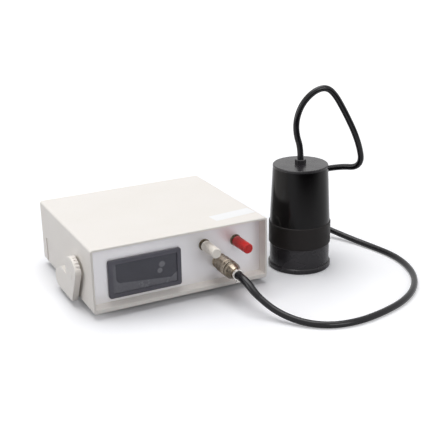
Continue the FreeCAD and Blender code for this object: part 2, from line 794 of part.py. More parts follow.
def tilt_stand():
    body = start("tilt_stand")
    outer = "(standGap + standThickness)"
    low = "(armEndZ - armEndRadius)"
    bar = circle(draw(body, "YZ_Plane", "-standGap - 1"), "barY", "barZ", "barRadius")
    pad(body, bar, "caseWidth + 2 * standGap + 2")
    for x in (f"-{outer}", "caseWidth + standGap"):
        pad(body, circle(draw(body, "YZ_Plane", x), "hingeY", "hingeZ", "hubRadius"), "standThickness")
        pad(body, circle(draw(body, "YZ_Plane", x), "armEndY", "armEndZ", "armEndRadius"), "standThickness")
        web = outline(draw(body, "YZ_Plane", x), [
            ("toeY", low), ("armEndY", low), ("armEndY + armEndRadius * cos(63)", "armEndZ + armEndRadius * sin(63)"),
            ("saddleY", "saddleZ"), ("notchY", "notchZ"), ("hingeY", "hingeZ"), ("browY", "browZ")])
        pad(body, web, "standThickness")

    # the hub ends in a straight edge from brow to toe, and a notch parts it from the arm
    trim = draw(body, "YZ_Plane", f"caseWidth + {outer} + 1")
    outline(trim, [("browY + (browY - toeY) * 0.3", f"browZ + (browZ - {low}) * 0.3"),
                   ("toeY - hubRadius * 1.8", f"{low} - 8"),
                   ("toeY + (toeY - browY) * 0.2", f"{low} + ({low} - browZ) * 0.2")])
    outline(trim, [("notchY", "notchZ"), ("saddleY", "saddleZ"), ("notchTopY", "notchTopZ")])
    pocket(body, trim, f"caseWidth + 2 * {outer} + 2")
    soften(body, "browRounding", lambda edge: at_corner(edge, "browY", "browZ"))
    soften(body, "toeRounding", lambda edge: at_corner(edge, "toeY", low))
    soften(body, "armRounding", lambda edge: near(edge.BoundBox.XMax, f"-{outer}")
           or near(edge.BoundBox.XMin, f"caseWidth + {outer}"))

    # grip teeth in the inner half of the hub's rim
    for x in ("-standGap", "caseWidth + standGap + toothWidth"):
        teeth = draw(body, "YZ_Plane", x)
        for number in range(4):
            turn = f"(toothFirst + {number} * toothStep)"
            circle(teeth, f"hingeY + (hubRadius + toothRadius - toothDepth) * cos({turn})",
                   f"hingeZ + (hubRadius + toothRadius - toothDepth) * sin({turn})", "toothRadius")
        pocket(body, teeth, "toothWidth")
    hole = circle(draw(body, "YZ_Plane", f"caseWidth + {outer} + 1"), "hingeY", "hingeZ", "pivotRadius + runFit")
    pocket(body, hole, f"caseWidth + 2 * {outer} + 2")


def stand_pivots():
    # a flange against the case, a spigot into its wall, and the pin that the arm turns on
    end = "standGap + standThickness + pivotProud"
    pins = []
    for number, (x, turn) in enumerate(((0, -90), ("caseWidth", 90)), 1):
        pins.append(turned(f"stand_pivot_{number}", [
            (0, "-spigotLength"), ("spigotRadius", "-spigotLength"), ("spigotRadius", 0), ("pivotFlangeRadius", 0),
            ("pivotFlangeRadius", "standGap - seatGap"), ("pivotRadius", "standGap - seatGap"),
            ("pivotRadius", f"{end} - 0.5"), ("pivotRadius - 0.5", end), (0, end)],
            x, "hingeY", "hingeZ", Rotation(Vector(0, 1, 0), turn)))
    group("stand_pivots", pins)


# ---- rear panel fittings ----

def mains_inlet():
    # own z axis points out of the rear panel, zero at the panel's outer face
    place = ("inletX", REAR_FACE, "inletZ", TO_REAR)
    body = start("mains_inlet", *place)
    face = centred(draw(body, "XY_Plane"), "inletFlangeWidth", "inletFlangeHeight")
    for side in ("-", ""):
        circle(face, f"{side}inletScrewSpread", 0, "screwRadius + holeFit")
    pad(body, face, "inletFlange")
    soften(body, "4", lambda edge: runs_along(edge, Vector(0, 0, 1)))
    pad(body, centred(draw(body, "XY_Plane"), "inletWidth", "inletHeight"), "inletDepth", reverse=True)
    cavity = draw(body, "XY_Plane", "inletFlange")
    wide = "cavityWidth / 2"
    tall = "cavityHeight / 2"
    outline(cavity, [(f"-{wide}", tall), (wide, tall), (wide, "0"), (f"{wide} - 4", f"-{tall}"),
                     (f"-{wide} + 4", f"-{tall}"), (f"-{wide}", "0")])
    pocket(body, cavity, "cavityDepth")

    contacts = []
    for number, (x, y) in enumerate(((-7, 2), (0, -2), (7, 2)), 1):
        contact = start(f"inlet_contact_{number}", *place)
        blade = draw(contact, "XY_Plane", "inletFlange - cavityDepth")
        rectangle(blade, x - 1, y - 2, x + 1, y + 2)
        pad(contact, blade, "contactReach")
        contacts.append(contact)
    group("inlet_contacts", contacts)

    screws = []
    for number, side in enumerate((-1, 1), 1):
        screws.append(turned(f"inlet_screw_{number}", [
            (0, "-panelThickness"), ("screwRadius", "-panelThickness"), ("screwRadius", "inletFlange"),
            ("screwHeadRadius", "inletFlange"), ("screwHeadRadius - 0.4", "inletFlange + 1.8"),
            (0, "inletFlange + 1.8")],
            f"inletX + {side} * inletScrewSpread", REAR_FACE, "inletZ", TO_REAR))
    group("inlet_screws", screws)


def power_switch():
    place = ("switchX", REAR_FACE, "switchZ", TO_REAR)
    frame = start("switch_frame", *place)
    pad(frame, centred(draw(frame, "XY_Plane"), "switchWidth + 2.4", "switchHeight + 2.6"), "switchBezel")
    pad(frame, centred(draw(frame, "XY_Plane"), "switchWidth", "switchHeight"), "switchDepth", reverse=True)
    well = centred(draw(frame, "XY_Plane", "switchBezel"), "switchWidth - 2.2", "switchHeight - 2.2")
    pocket(frame, well, "switchDepth - 1")
    pivot = circle(draw(frame, "YZ_Plane", "switchWidth"), 0, "-rockerSink", "rockerPin + runFit")
    pocket(frame, pivot, "2 * switchWidth")

    # own origin on the pivot; it rests tipped to one side
    tip = Rotation(Vector(1, 0, 0), value("rockerTilt"))
    rocker = start("power_rocker", "switchX", f"{REAR_FACE} - rockerSink", "switchZ",
                   TO_REAR.multiply(tip))
    reach = "(switchHeight / 2 - 2.5)"
    side = "(switchWidth / 2 - 1.1)"
    profile = draw(rocker, "YZ_Plane", f"-{side} + seatGap")
    outline(profile, [(f"-{reach}", "3.6"), (0, "2.2"), (reach, "3.6"),
                      (f"{reach} - 0.6", "-4"), (f"-{reach} + 0.6", "-4")])
    pad(rocker, profile, f"2 * ({side} - seatGap)")
    pin = circle(draw(rocker, "YZ_Plane", f"-{side} - 0.8"), 0, 0, "rockerPin")
    pad(rocker, pin, f"2 * {side} + 1.6")


def fuse():
    place = ("fuseX", REAR_FACE, "fuseZ", TO_REAR)
    bore = "(fuseRadius + 1)"
    turned("fuse_holder", [
        (0, "-fuseDepth"), ("fuseBodyRadius", "-fuseDepth"), ("fuseBodyRadius", 0), ("fuseFlangeRadius", 0),
        ("fuseFlangeRadius", 1.5), ("fuseFlangeRadius - 0.5", 2), (f"{bore} + runFit", 2),
        (f"{bore} + runFit", "-fuseDepth + 1.5"), (0, "-fuseDepth + 1.5")], *place)
    turned("fuse", [(0, "-fuseDepth + 1.5"), ("fuseRadius", "-fuseDepth + 1.5"), ("fuseRadius", -2), (0, -2)], *place)
    cap = turned("fuse_cap", [
        (0, -2), (bore, -2), (bore, "2 + seatGap"), ("fuseCapRadius", "2 + seatGap"),
        ("fuseCapRadius - 0.3", "2 + fuseCapProud - 0.5"), ("fuseCapRadius - 0.8", "2 + fuseCapProud"),
        (0, "2 + fuseCapProud")], *place)
    slot = centred(draw(cap, "XY_Plane", "2 + fuseCapProud"), "2 * fuseCapRadius + 1", "1.6")
    pocket(cap, slot, "1.2")


# ---- circuit and transformer ----

def circuit():
    board = start("main_circuit")
    plate = draw(board, "XY_Plane", "boardZ")
    rectangle(plate, BOARD_X, "boardY", f"{BOARD_X} + {BOARD_WIDTH}", f"boardY + {BOARD_DEPTH}")
    for x, y in BOARD_POSTS:
        circle(plate, x, y, "boardScrew + holeFit")
    pad(board, plate, "circuitThickness")
    screws = []
    for number, (x, y) in enumerate(BOARD_POSTS, 1):
        screws.append(turned(f"circuit_screw_{number}", [
            (0, "-boardScrewBite"), ("boardScrew", "-boardScrewBite"), ("boardScrew", "circuitThickness"),
            ("2 * boardScrew", "circuitThickness"), ("2 * boardScrew", "circuitThickness + boardScrewHead"),
            (0, "circuitThickness + boardScrewHead")], x, y, "boardZ"))
    group("circuit_screws", screws)

    top = "boardZ + circuitThickness"
    group("filter_capacitors", [
        turned(f"filter_capacitor_{number}", [(0, 0), ("capRadius", 0), ("capRadius", "capHeight - 0.6"),
                                              ("capRadius - 0.6", "capHeight"), (0, "capHeight")],
               f"{BOARD_X} + capPitch * ({number} + 0.25)", f"boardY + {BOARD_DEPTH} - capFromRear", top)
        for number in (1, 2)])
    group("amplifier_chips", [
        block(f"amplifier_chip_{number}", (f"{BOARD_X} + chipPitch * {number}", "boardY + 3 * chipLength", top),
              ("chipLength", "chipWidth", "chipHeight")) for number in (1, 2, 3)])
    block("terminal_block", (f"{BOARD_X} + terminalLength", "boardY + terminalWidth", top),
          ("terminalLength", "terminalWidth", "terminalHeight"))
    block("regulator_heatsink", (f"{BOARD_X} + {BOARD_WIDTH} - heatsinkInset", f"boardY + {BOARD_DEPTH} - 2 * heatsinkWidth", top),
          ("heatsinkThickness", "heatsinkWidth", "heatsinkHeight"))


def transformer():
    place = ("coreX", "coreY", "wall")
    window = "((coreWidth - 4 * coreLeg) / 2)"
    core = start("transformer_core", *place)
    face = rectangle(draw(core, "XZ_Plane"), 0, 0, "coreWidth", "coreHeight")
    for left in ("coreLeg", f"3 * coreLeg + {window}"):
        rectangle(face, left, "coreLeg", f"{left} + {window}", "coreHeight - coreLeg")
    pad(core, face, "coreStack", reverse=True)
    coil = start("transformer_coil", *place)
    ring = draw(coil, "XY_Plane", "coreLeg + 0.15")
    rectangle(ring, "coreLeg + 0.2", "-coilOverhang", "coreWidth - coreLeg - 0.2", "coreStack + coilOverhang")
    middle = f"(coreLeg + {window})"
    rectangle(ring, f"{middle} - 0.15", "-0.15", f"{middle} + 2 * coreLeg + 0.15", "coreStack + 0.15")
    pad(coil, ring, "coreHeight - 2 * coreLeg - 0.3")


# ---- probe, heights from the floor ----

def probe():
    place = (PROBE_X, "probeY", "-footHeight")
    inner = "(collarRadius - collarWall)"
    spigot = f"({inner} - holeFit)"
    sill = "(baseWall - glassThickness)"
    base = turned("probe_base", [
        ("apertureRadius", 0), ("flangeRadius - 1", 0), ("flangeRadius", 1), ("flangeRadius", "flangeHeight - 1.2"),
        ("flangeRadius - 1.2", "flangeHeight"), ("baseRadius", "flangeHeight"), ("baseRadius", "baseTop"),
        (spigot, "baseTop"), (spigot, "baseTop + spigotHeight"), ("baseRadius - baseWall", "baseTop + spigotHeight"),
        ("baseRadius - baseWall", "baseWall"), ("glassRadius + 0.1", "baseWall"), ("glassRadius + 0.1", sill),
        ("apertureRadius", sill)], *place)
    hole = circle(draw(base, "XY_Plane", "baseWall + 1"), "probeScrewRing", 0, "screwRadius + holeFit")
    dish = circle(draw(base, "XY_Plane", 0), "probeScrewRing", 0, "screwHeadRadius + holeFit")
    around(base, pocket(base, hole, "baseWall + 2"), hole, 3)
    around(base, pocket(base, dish, "probeScrewSink + probeScrewHead", reverse=True), dish, 3)
    turned("aperture_glass", [(0, sill), ("glassRadius", sill), ("glassRadius", "baseWall"), (0, "baseWall")], *place)
    turned("probe_collar", [
        (inner, "baseTop"), ("collarRadius - 1.2", "baseTop"), ("collarRadius", "baseTop + 1.5"),
        ("collarRadius", "collarTop - 0.7"), ("collarRadius - 0.7", "collarTop"), (inner, "collarTop")], *place)
    turned("probe_housing", [
        ("coneRadius - coneWall - 0.5", "collarTop - 2 * spigotHeight"), (spigot, "collarTop - 2 * spigotHeight"),
        (spigot, "collarTop"), ("coneRadius", "collarTop"), ("coneTopRadius", "coneTop"),
        ("coneTopRadius - coneWall", "coneTop"), ("coneRadius - coneWall - 0.5", "collarTop")], *place)
    neck = "(coneTopRadius - coneWall - holeFit)"
    turned("probe_cap", [
        ("glandStemRadius + runFit", "coneTop"), (f"{neck} - 2", "coneTop"), (f"{neck} - 2", "coneTop - spigotHeight"),
        (neck, "coneTop - spigotHeight"), (neck, "coneTop"), ("coneTopRadius", "coneTop"),
        ("coneTopRadius", "coneTop + capThickness - 0.7"), ("coneTopRadius - 0.7", "coneTop + capThickness"),
        ("glandStemRadius + runFit", "coneTop + capThickness")], *place)

    top = "(coneTop + capThickness)"
    gland = start("cord_gland", *place)
    pad(gland, outline(draw(gland, "XY_Plane", top), hexagon("glandAcross")), "glandHeight")
    pad(gland, circle(draw(gland, "XY_Plane", top), 0, 0, "glandStemRadius"), "glandStem", reverse=True)
    soften(gland, "0.5", lambda edge: near(edge.BoundBox.ZMin, f"{top} + glandHeight"), "Chamfer")
    bore = circle(draw(gland, "XY_Plane", f"{top} + glandHeight"), 0, 0, "cordRadius + runFit")
    pocket(gland, bore, "cordSeat")
    nut = start("gland_nut", *place)
    face = outline(draw(nut, "XY_Plane", "coneTop"), hexagon("glandAcross + 2"))
    circle(face, 0, 0, "glandStemRadius + runFit")
    pad(nut, face, "3", reverse=True)

    block_body = turned("optics_block", [
        (6, "baseWall"), ("opticsRadius", "baseWall"), ("opticsRadius", "opticsTop"), ("cellRadius + 0.1", "opticsTop"),
        ("cellRadius + 0.1", "opticsTop - 8"), (6, "opticsTop - 8")], *place)
    # the lamp lights the sample from the side, at half a right angle
    slant = Rotation(Vector(0, 1, 0), 45)
    bore = draw(block_body, "XY_Plane")
    bore.AttachmentOffset = Placement(Vector(), slant)
    bind(bore, "AttachmentOffset.Base.x", "opticsRadius + 2")
    bind(bore, "AttachmentOffset.Base.z", "baseWall + opticsRadius + 2")
    circle(bore, 0, 0, "lampHolderRadius + 0.05")
    pocket(block_body, bore, "(opticsRadius + 2) * sqrt(2) - 4")
    tapped = circle(draw(block_body, "XY_Plane", "baseWall"), "probeScrewRing", 0, "screwRadius + runFit")
    around(block_body, pocket(block_body, tapped, "probeScrewBite + 1", reverse=True), tapped, 3)
    aim = (PROBE_X, "probeY", "-footHeight + baseWall", slant)
    turned("lamp_holder", [(0, "opticsRadius"), ("lampHolderRadius", "opticsRadius"),
                           ("lampHolderRadius", "opticsRadius + 7"), (0, "opticsRadius + 7")], *aim)
    turned("probe_lamp", [(0, "opticsRadius - 11"), ("1.6", "opticsRadius - 11"), ("2.8", "opticsRadius - 9"),
                          ("2.8", "opticsRadius"), (0, "opticsRadius")], *aim)
    turned("photocell", [(0, "opticsTop - 8"), ("cellRadius", "opticsTop - 8"), ("cellRadius", "opticsTop"),
                         (0, "opticsTop")], *place)
    turned("probe_circuit", [(0, "opticsTop"), ("opticsRadius + 1", "opticsTop"),
                             ("opticsRadius + 1", "opticsTop + circuitThickness"),
                             (0, "opticsTop + circuitThickness")], *place)
    screws = []
    for number, (u, v) in enumerate(((1, 0), (-0.5, 0.5), (-0.5, -0.5)), 1):
        y = f"{v} * sqrt(3)" if v else "0"
        screws.append(turned(f"probe_screw_{number}", [
            (0, "probeScrewSink"), ("screwHeadRadius", "probeScrewSink"),
            ("screwHeadRadius", "probeScrewSink + probeScrewHead"), ("screwRadius", "probeScrewSink + probeScrewHead"),
            ("screwRadius", "baseWall + probeScrewBite"), (0, "baseWall + probeScrewBite")],
            f"{PROBE_X} + {u} * probeScrewRing", f"probeY + {y} * probeScrewRing", "-footHeight"))
    group("probe_screws", screws)


# ---- cable ----

def cable_route():
    # corners of the cable's path from the probe's gland to the plug's boot, in the model's own
    # frame: up and over in a loop, down behind the probe, out along the floor and up to the plug
    lie = value("cordRadius")
    gland = Vector(value(f"{PROBE_X} - {ORIGIN_X}"), value(f"probeY - {ORIGIN_Y}"),
                   value("coneTop + capThickness + glandHeight - cordSeat"))
    plug = Vector(value(f"{SOCKET_X} - {ORIGIN_X}"), value(f"panelRecess - bootEnd + cordSeat - {ORIGIN_Y}"),
                  value("socketZ + footHeight"))
    loop = [(112.5, -46, 153), (112, -46, 170), (118, -47.7, 187), (128, -51.7, 199), (138, -55, 204),
            (147, -56.5, 202.5), (155.5, -57, 194), (163.5, -57.5, 181.5), (172.5, -58, 166), (182, -58.5, 148),
            (190, -57.5, 129), (194.5, -55, 113.5), (192, -47.5, 104), (185, -31.5, 102), (170, -9.5, 95),
            (156, 11.5, 80), (150, 26.5, 58), (157, 33.5, 35), (175, 26.5, 18), (193, 4.5, 10), (206, -24.5, 5)]
    floor = [(215.5, -56.5), (221, -88.5), (217, -119.5), (204.5, -149.5), (182, -176.5), (153, -195.5),
             (119, -206.5), (85, -211.5), (56, -205.5)]
    rise = [(35, -188.5, 4.5), (19.8, -165, 9.3), (8.6, -143.3, 21)]
    corners = [gland, gland + Vector(0, 0, 16)]
    corners += [Vector(*spot) for spot in loop]
    corners += [Vector(x, y, lie) for x, y in floor]
    corners += [Vector(*spot) for spot in rise]
    corners += [plug + Vector(0, -13, 0), plug]
    return corners


def cable():
    corners = cable_route()
    edges = []
    radii = []
    length = 0
    last = corners[0]
    for before, corner, after in zip(corners, corners[1:], corners[2:]):
        back = before - corner
        onward = after - corner
        turn = math.pi - back.getAngle(onward)
        trim = 0.45 * min(back.Length, onward.Length)
        radius = trim / math.tan(turn / 2)
        back.normalize()
        onward.normalize()
        enter = corner + back * trim
        leave = corner + onward * trim
        inward = (back + onward).normalize()
        middle = corner + inward * (math.hypot(trim, radius) - radius)
        edges.append(Part.LineSegment(last, enter).toShape())
        edges.append(Part.Arc(enter, middle, leave).toShape())
        length += last.distanceToPoint(enter) + radius * turn
        radii.append(round(radius, 1))
        last = leave
    edges.append(Part.LineSegment(last, corners[-1]).toShape())
    length += last.distanceToPoint(corners[-1])
    thickness = value("cordRadius")
    section = Part.Face(Part.Wire(Part.Circle(corners[0], corners[1] - corners[0], thickness).toShape()))
    cord = doc.addObject("Part::Feature", "probe_cord")
    cord.Label = "probe_cord"
    cord.Shape = Part.Wire(edges).makePipe(section)
    pieces["probe_cord"] = cord
    print("cable length", round(length, 1), "volume ratio",
          round(cord.Shape.Volume / (math.pi * thickness ** 2 * length), 4), "arc radii", radii)


lower_shell()
upper_shell()
feet_and_screws()
front_panel()
rear_panel()
panel_meter()
group("control_nuts", [control("zero", ZERO_X, "zeroZ", "zeroReach"),
                       control("calibrate", CAL_X, "calZ", "calReach")])
connector()
tilt_stand()
stand_pivots()
mains_inlet()
power_switch()
fuse()
circuit()
transformer()
probe()
cable()

doc.recompute()
for item in doc.Objects:
    if "Invalid" in item.State or "Error" in item.State:
        raise RuntimeError(f"{item.Label} did not compute")
for label, item in pieces.items():
    if item.Shape.isNull() or not item.Shape.isValid() or not item.Shape.Solids:
        raise RuntimeError(f"{label} has no valid solid")
for label, item in pieces.items():
    item.Shape.exportStep(f"parts/{label}.step")
print(len(pieces), "pieces written")
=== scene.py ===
import json
import math
import bmesh
import bpy
from mathutils import Matrix, Vector


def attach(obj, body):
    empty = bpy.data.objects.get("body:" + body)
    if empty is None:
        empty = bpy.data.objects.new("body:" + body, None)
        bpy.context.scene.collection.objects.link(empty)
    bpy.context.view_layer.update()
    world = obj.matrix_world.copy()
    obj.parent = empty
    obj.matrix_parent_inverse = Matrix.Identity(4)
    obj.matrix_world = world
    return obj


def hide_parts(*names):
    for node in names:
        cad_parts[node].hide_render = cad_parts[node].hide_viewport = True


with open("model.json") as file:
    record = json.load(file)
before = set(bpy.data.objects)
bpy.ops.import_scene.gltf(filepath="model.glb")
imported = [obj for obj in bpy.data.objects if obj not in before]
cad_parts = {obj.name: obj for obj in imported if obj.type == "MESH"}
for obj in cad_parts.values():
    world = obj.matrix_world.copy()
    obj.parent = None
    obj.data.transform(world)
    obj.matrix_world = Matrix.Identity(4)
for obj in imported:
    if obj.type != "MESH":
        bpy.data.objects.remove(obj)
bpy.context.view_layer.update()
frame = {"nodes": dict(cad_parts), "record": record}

scene = bpy.context.scene
nodes = frame["nodes"]

# Places are millimetres from the case's lower left front corner, across, back and up
caseCorner = Vector((-0.143, -0.0795, 0.007))
toFront = Matrix.Rotation(math.pi / 2, 4, "X")      # turns a piece's own z axis out of the front panel
toRear = Matrix.Rotation(-math.pi / 2, 4, "X")      # out of the rear panel
toFloor = Matrix.Rotation(math.pi, 4, "X")          # and down out of the underside


def fromCorner(x, y, z):
    return caseCorner + Vector((x, y, z)) / 1000


# Camera, to the left of the case and above it; metres and degrees, and the lens in millimetres
cameraPlace = {
    "spot": (-0.3933, -0.8715, 0.4086),
    "yaw": 26.42,
    "pitch": 20.16,
    "roll": -0.976,
    "lens": 73.8,
    "sensor": 36,
    "seesFrom": 0.02,
    "seesTo": 60,
}


def makeCamera(place):
    yaw, pitch, roll = (math.radians(place[k]) for k in ("yaw", "pitch", "roll"))
    turn = Matrix.Rotation(-yaw, 3, "Z") @ Matrix.Rotation(math.pi / 2 - pitch, 3, "X")
    turn = turn @ Matrix.Rotation(roll, 3, "Z")
    data = bpy.data.cameras.new("tableCamera")
    data.lens = place["lens"]
    data.sensor_width = place["sensor"]
    data.clip_start, data.clip_end = place["seesFrom"], place["seesTo"]
    holder = bpy.data.objects.new("tableCamera", data)
    holder.matrix_world = Matrix.Translation(place["spot"]) @ turn.to_4x4()
    scene.collection.objects.link(holder)
    scene.camera = holder


makeCamera(cameraPlace)
print("camera set up")


# Material helpers
def tone(red, green, blue):
    # a colour as it is seen, 0 to 255, turned into the linear one that a socket takes
    seen = [c / 255 for c in (red, green, blue)]
    return [c / 12.92 if c <= 0.04045 else ((c + 0.055) / 1.055) ** 2.4 for c in seen] + [1.0]


def addNode(tree, kind, inputs=None, **settings):
    node = tree.nodes.new("ShaderNode" + kind)
    for key, value in settings.items():
        setattr(node, key, value)
    for key, value in (inputs or {}).items():
        if isinstance(value, bpy.types.NodeSocket):
            tree.links.new(value, node.inputs[key])
        else:
            node.inputs[key].default_value = value
    return node


def calculate(tree, operation, *values):
    return addNode(tree, "Math", dict(enumerate(values)), operation=operation).outputs[0]


def startMaterial(name, **shaderInputs):
    # a shader with its constant sockets set, and the coordinates that its patterns follow
    made = bpy.data.materials.new(name)
    made.use_nodes = True
    tree = made.node_tree
    shader = tree.nodes["Principled BSDF"]
    for key, value in shaderInputs.items():
        shader.inputs[key.replace("_", " ")].default_value = value
    place = addNode(tree, "TexCoord").outputs["Object"]
    return made, tree, shader, place


def noise(tree, place, scale, detail=3.0, roughness=0.55, stretch=None):
    # stretch above 1 on an axis makes the pattern finer along it
    if stretch:
        place = addNode(tree, "Mapping", {"Vector": place, "Scale": stretch}).outputs["Vector"]
    settings = {"Vector": place, "Scale": scale, "Detail": detail, "Roughness": roughness}
    return addNode(tree, "TexNoise", settings).outputs["Fac"]


def blendTones(tree, share, low, high, start=0.35, end=0.65):
    ramp = addNode(tree, "ValToRGB", {"Fac": share})
    ramp.color_ramp.elements[0].position, ramp.color_ramp.elements[0].color = start, low
    ramp.color_ramp.elements[1].position, ramp.color_ramp.elements[1].color = end, high
    return ramp.outputs["Color"]


def mixTones(tree, share, first, second):
    mix = addNode(tree, "Mix", data_type="RGBA")
    for socket, value in ((mix.inputs[0], share), (mix.inputs[6], first), (mix.inputs[7], second)):
        if isinstance(value, bpy.types.NodeSocket):
            tree.links.new(value, socket)
        else:
            socket.default_value = value
    return mix.outputs[2]


def spread(tree, share, low, high, start=0.3, end=0.7):
    # a value between start and end, spread out between low and high
    settings = {"Value": share, "From Min": start, "From Max": end, "To Min": low, "To Max": high}
    return addNode(tree, "MapRange", settings).outputs["Result"]


def bumpFrom(tree, shader, height, strength, depth):
    bump = addNode(tree, "Bump", {"Height": height, "Strength": strength, "Distance": depth})
    tree.links.new(bump.outputs["Normal"], shader.inputs["Normal"])


def mouldedPlastic(name, pale, deep, grain=2600, rough=(0.38, 0.5), bump=0.25, specks=None, **extra):
    # a fine spark-eroded grain, slow changes of tone across a part, and a few darker specks
    made, tree, shader, place = startMaterial(name, **extra)
    colour = blendTones(tree, noise(tree, place, scale=14, detail=4), deep, pale)
    if specks:
        dots = noise(tree, place, scale=700, detail=2, roughness=0.4)
        colour = mixTones(tree, spread(tree, dots, 0, 1, start=0.70, end=0.76), colour, specks)
    tree.links.new(colour, shader.inputs["Base Color"])
    tree.links.new(spread(tree, noise(tree, place, scale=60, detail=5), *rough), shader.inputs["Roughness"])
    bumpFrom(tree, shader, noise(tree, place, grain, detail=2, roughness=0.6), bump, depth=0.00006)
    return made


def turnedMetal(name, pale, deep, rough=(0.2, 0.36), stretch=(1, 40, 1), grain=260, bump=0.15, **extra):
    # plated or turned metal: fine tool lines, and a plating that varies in tone
    made, tree, shader, place = startMaterial(name, Metallic=1.0, **extra)
    lines = noise(tree, place, grain, detail=3, roughness=0.6, stretch=stretch)
    plating = noise(tree, place, scale=90, detail=4)
    tree.links.new(blendTones(tree, plating, deep, pale), shader.inputs["Base Color"])
    tree.links.new(spread(tree, lines, *rough), shader.inputs["Roughness"])
    bumpFrom(tree, shader, lines, bump, depth=0.00004)
    return made


def satinFilm(name, pale, deep, bright, rough=(0.36, 0.46), **extra):
    # the panels' satin metallic film: a fine bright flake, and faint rubbing marks along it
    made, tree, shader, place = startMaterial(name, **extra)
    flake = noise(tree, place, scale=3800, detail=1, roughness=0.5)
    rubbing = noise(tree, place, scale=40, detail=5, roughness=0.6, stretch=(1, 1, 18))
    colour = blendTones(tree, noise(tree, place, scale=9, detail=3), deep, pale)
    colour = mixTones(tree, spread(tree, flake, 0, 0.35, start=0.55, end=0.75), colour, bright)
    tree.links.new(colour, shader.inputs["Base Color"])
    tree.links.new(spread(tree, rubbing, *rough), shader.inputs["Roughness"])
    bumpFrom(tree, shader, flake, 0.3, depth=0.00003)
    return made


def polishedPlastic(name, pale, deep, rough=(0.1, 0.2), scratches=0.04, **extra):
    # polished plastic: hairline scratches, and hand marks that dull the gloss in places
    made, tree, shader, place = startMaterial(name, **extra)
    hairlines = noise(tree, place, scale=500, detail=2, roughness=0.7, stretch=(1, 1, 14))
    marks = noise(tree, place, scale=34, detail=5, roughness=0.62)
    tree.links.new(blendTones(tree, marks, deep, pale), shader.inputs["Base Color"])
    tree.links.new(spread(tree, marks, *rough, start=0.4, end=0.62), shader.inputs["Roughness"])
    bumpFrom(tree, shader, hairlines, scratches, depth=0.00003)
    return made


# Marks on the meter's window, millimetres from the case corner: pale bands of painted reflection along its
# left side and foot, and two touch marks
windowMarks = {
    "left": 29.8,           # right edge of the pale painted-reflection band on the left
    "foot": 26.4,           # top of the band along the foot, which falls with footSlope
    "footSlope": -0.083,
    "curlFrom": 91.0,       # where that band turns up again, and how steeply
    "curl": 0.85,
    "round": 5.0,           # radius of the corner between the two bands
    "soft": 0.4,            # half the width of the bands' blurred edge
    "reflectionAndTouchShare": 0.6,            # share of the pale tone of the painted reflection in the bands
    "touch": 0.92,          # and in the middle of a touch mark
    "touches": [((80.9, 12.3, 35.3), 3.3), ((78.3, 12.3, 28.6), 2.8)],
}


def smokedWindow(name, pale, deep, reflectionAndTouchTone, marks):
    # smoked acrylic with a painted reflection: pale bands along two sides, and two touch marks
    made, tree, shader, place = startMaterial(name)

    def vector(operation, *values, output="Vector", **more):
        inputs = {**dict(enumerate(values)), **more}
        return addNode(tree, "VectorMath", inputs, operation=operation).outputs[output]

    def number(operation, *values):
        return calculate(tree, operation, *values)

    onPanel = vector("SCALE", vector("SUBTRACT", place, tuple(caseCorner)), Scale=1000.0)
    axes = addNode(tree, "SeparateXYZ", {"Vector": onPanel}).outputs
    across, height = axes["X"], axes["Z"]
    pastCurl = number("MAXIMUM", number("SUBTRACT", across, marks["curlFrom"]), 0.0)
    turnUp = number("MULTIPLY", pastCurl, marks["curl"])
    edge = number("ADD", number("ADD", number("MULTIPLY", across, marks["footSlope"]), turnUp), marks["foot"])
    nearLeft = number("MAXIMUM", number("SUBTRACT", marks["left"] + marks["round"], across), 0.0)
    nearFoot = number("MAXIMUM", number("SUBTRACT", number("ADD", edge, marks["round"]), height), 0.0)
    corner = addNode(tree, "CombineXYZ", {"X": nearLeft, "Y": nearFoot}).outputs["Vector"]
    # the pale bands along the left side and the foot are a painted reflection; the touch marks are added to
    # them below
    reflectionAndTouchShare = spread(tree, vector("LENGTH", corner, output="Value"), 0, marks["reflectionAndTouchShare"],
                  marks["round"] - marks["soft"], marks["round"] + marks["soft"])
    for spot, size in marks["touches"]:
        gap = vector("DISTANCE", onPanel, spot, output="Value")
        reflectionAndTouchShare = number("MAXIMUM", reflectionAndTouchShare, spread(tree, gap, marks["touch"], 0, size * 0.75, size * 1.25))
    reflectionAndTouchShare = number("MULTIPLY", reflectionAndTouchShare, spread(tree, noise(tree, place, scale=300, detail=4), 0.8, 1.0))
    base = blendTones(tree, noise(tree, place, scale=30, detail=4), deep, pale)
    tree.links.new(mixTones(tree, reflectionAndTouchShare, base, reflectionAndTouchTone), shader.inputs["Base Color"])
    smooth = spread(tree, noise(tree, place, scale=60, detail=4), 0.07, 0.12)
    tree.links.new(number("ADD", smooth, number("MULTIPLY", reflectionAndTouchShare, 0.3)), shader.inputs["Roughness"])
    hairlines = noise(tree, place, scale=500, detail=2, roughness=0.7, stretch=(1, 1, 14))
    bumpFrom(tree, shader, hairlines, 0.04, depth=0.00003)
    return made


def laminatedBoard(name, pale, deep, copper):
    # a circuit board: green lacquer over straight copper tracks
    made, tree, shader, place = startMaterial(name)
    tracks = addNode(tree, "TexBrick", {
        "Vector": place, "Color1": (0, 0, 0, 1), "Color2": (0, 0, 0, 1), "Mortar": (1, 1, 1, 1),
        "Scale": 90.0, "Mortar Size": 0.05, "Brick Width": 0.9, "Row Height": 0.24}).outputs["Color"]
    lacquer = blendTones(tree, noise(tree, place, scale=60), deep, pale)
    tree.links.new(mixTones(tree, tracks, lacquer, copper), shader.inputs["Base Color"])
    tree.links.new(spread(tree, noise(tree, place, scale=200), 0.25, 0.4), shader.inputs["Roughness"])
    bumpFrom(tree, shader, tracks, 0.3, depth=0.00004)
    return made


